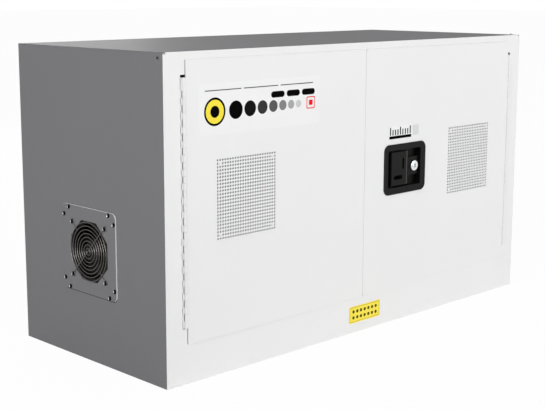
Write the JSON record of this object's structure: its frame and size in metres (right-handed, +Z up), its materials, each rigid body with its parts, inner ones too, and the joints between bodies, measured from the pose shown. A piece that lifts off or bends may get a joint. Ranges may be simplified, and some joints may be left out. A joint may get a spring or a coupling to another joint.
{
  "type": "battery charging cabinet",
  "caption": "Countertop double-wall steel cabinet for charging batteries: two vented hinged doors, flush paddle latch with key lock, side exhaust fan, shelf and socket strip.",
  "frame": {"origin": "centre of the case's bottom face", "axes": "+X to the right along the front (longest extent), +Y from the doors to the back, +Z up"},
  "size_m": [1.1009, 0.4651, 0.6134],
  "materials": {
    "grey_steel": "smooth powder coat, mid grey",
    "white_steel": "smooth powder coat, white",
    "liner_steel": "powder coat, light grey",
    "zinc_steel": "zinc plated",
    "vent_block": "matt, dark blue grey",
    "black_moulding": "satin black moulding",
    "chrome": "polished",
    "black_screws": "black oxide",
    "guard_wire": "plated wire",
    "fan_black": "matt black",
    "strip_grey": "anodised",
    "rubber": "matt"
  },
  "bodies": {
    "case": {"outer_left_panel": "grey_steel", "outer_right_panel": "grey_steel", "outer_top_panel": "grey_steel", "outer_bottom_panel": "grey_steel", "outer_back_panel": "grey_steel", "left_stile": "white_steel", "right_stile": "white_steel", "top_rail": "white_steel", "bottom_rail": "white_steel", "latch_keepers": "zinc_steel", "inner_left_panel": "liner_steel", "inner_right_panel": "liner_steel", "inner_top_panel": "liner_steel", "inner_bottom_panel": "liner_steel", "inner_back_panel": "liner_steel", "wall_spacers": "zinc_steel", "left_hinge_frame_leaf": "white_steel", "left_hinge_pin": "zinc_steel", "right_hinge_frame_leaf": "white_steel", "right_hinge_pin": "zinc_steel", "fan_plate": "grey_steel", "plate_screws": "black_screws", "finger_guard": "guard_wire", "guard_screws": "black_screws", "fan_frame": "fan_black", "fan_motor": "fan_black", "shelf": "liner_steel", "shelf_brackets": "zinc_steel", "socket_strip": "strip_grey", "sockets": "black_moulding", "strip_brackets": "zinc_steel", "cable_inlet": "rubber", "ground_screw": "zinc_steel", "side_insert": "zinc_steel"},
    "left_door": {"left_hinge_door_leaf": "white_steel", "left_door_skin": "white_steel", "left_door_pan": "white_steel", "left_vent_screen": "white_steel", "left_vent_block": "vent_block", "left_vent_screws": "zinc_steel"},
    "right_door": {"right_hinge_door_leaf": "white_steel", "right_door_skin": "white_steel", "right_door_pan": "white_steel", "right_vent_screen": "white_steel", "right_vent_block": "vent_block", "right_vent_screws": "zinc_steel", "handle_dish": "black_moulding", "paddle_pin": "zinc_steel", "lock_barrel": "chrome", "rod_guides": "black_moulding"},
    "paddle": {"handle_paddle": "black_moulding"},
    "latch_cam": {"latch_cam": "zinc_steel"},
    "upper_rod": {"upper_latch_rod": "zinc_steel"},
    "lower_rod": {"lower_latch_rod": "zinc_steel"},
    "key": {"key_plug": "chrome", "lock_cam": "zinc_steel"},
    "fan_rotor": {"fan_rotor": "fan_black"}
  },
  "joints": [
    {"name": "left_door_hinge", "type": "hinge", "parent": "case", "child": "left_door", "pos_m": [-0.50225, -0.2315, 0.336], "axis": [0, 0, -1], "range_deg": [0, 170]},
    {"name": "right_door_hinge", "type": "hinge", "parent": "case", "child": "right_door", "pos_m": [0.50225, -0.2315, 0.336], "axis": [0, 0, 1], "range_deg": [0, 170]},
    {"name": "paddle_pull", "type": "hinge", "parent": "right_door", "child": "paddle", "pos_m": [0.0769, -0.2295, 0.338], "axis": [0, 0, -1], "range_deg": [0, 30.1], "stiffness_Nm_per_rad": 0.4, "springref_deg": -17.19},
    {"name": "cam_turn", "type": "hinge", "parent": "right_door", "child": "latch_cam", "pos_m": [0.0822, -0.2085, 0.338], "axis": [0, 1, 0], "range_deg": [0, 30.1]},
    {"name": "upper_rod_slide", "type": "slide", "parent": "right_door", "child": "upper_rod", "axis": [0, 0, -1], "range_m": [0, 0.0125]},
    {"name": "lower_rod_slide", "type": "slide", "parent": "right_door", "child": "lower_rod", "axis": [0, 0, 1], "range_m": [0, 0.0126]},
    {"name": "key_turn", "type": "hinge", "parent": "right_door", "child": "key", "pos_m": [0.151, -0.2285, 0.339], "axis": [0, -1, 0], "range_deg": [0, 90]},
    {"name": "fan_spin", "type": "hinge", "parent": "case", "child": "fan_rotor", "pos_m": [-0.527, 0, 0.22], "axis": [1, 0, 0], "continuous": true}
  ],
  "couplings": [
    {"joint": "paddle_pull", "follows": "upper_rod_slide", "rad_per_m": 41.888},
    {"joint": "cam_turn", "follows": "upper_rod_slide", "rad_per_m": 41.888},
    {"joint": "lower_rod_slide", "follows": "upper_rod_slide", "ratio": 1}
  ]
}
